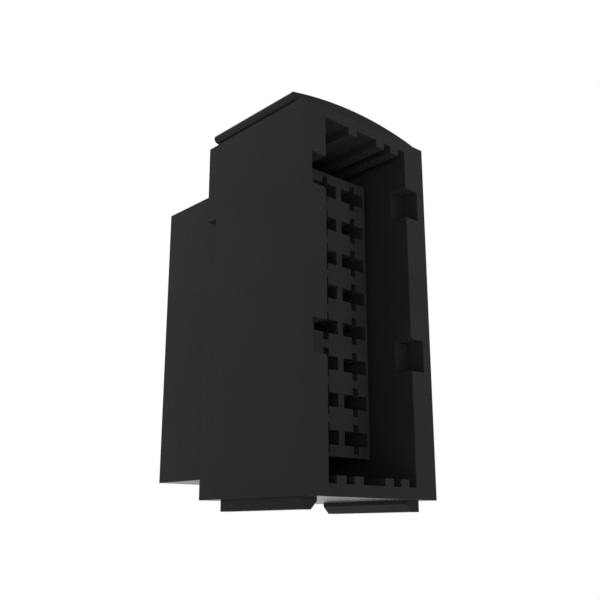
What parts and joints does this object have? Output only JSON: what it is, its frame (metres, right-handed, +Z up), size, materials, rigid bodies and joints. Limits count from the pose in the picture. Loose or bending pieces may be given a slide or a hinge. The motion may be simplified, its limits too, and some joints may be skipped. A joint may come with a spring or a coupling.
{
  "type": "connector housing",
  "caption": "Moulded connector housing: a shroud round a recessed block of crossed contact slots, a wire-side block behind, a domed guide on top and guide feet below.",
  "frame": {"origin": "on the ground under the middle of the housing's box, which stands on its guide feet", "axes": "+Z up along the contact rows, -Y out of the mating mouth, +X to the right seen from the mouth"},
  "size_m": [0.0248, 0.0394, 0.056],
  "materials": {
    "housing": "fine matt, as moulded"
  },
  "bodies": {
    "root": {"housing": "housing"}
  },
  "joints": []
}
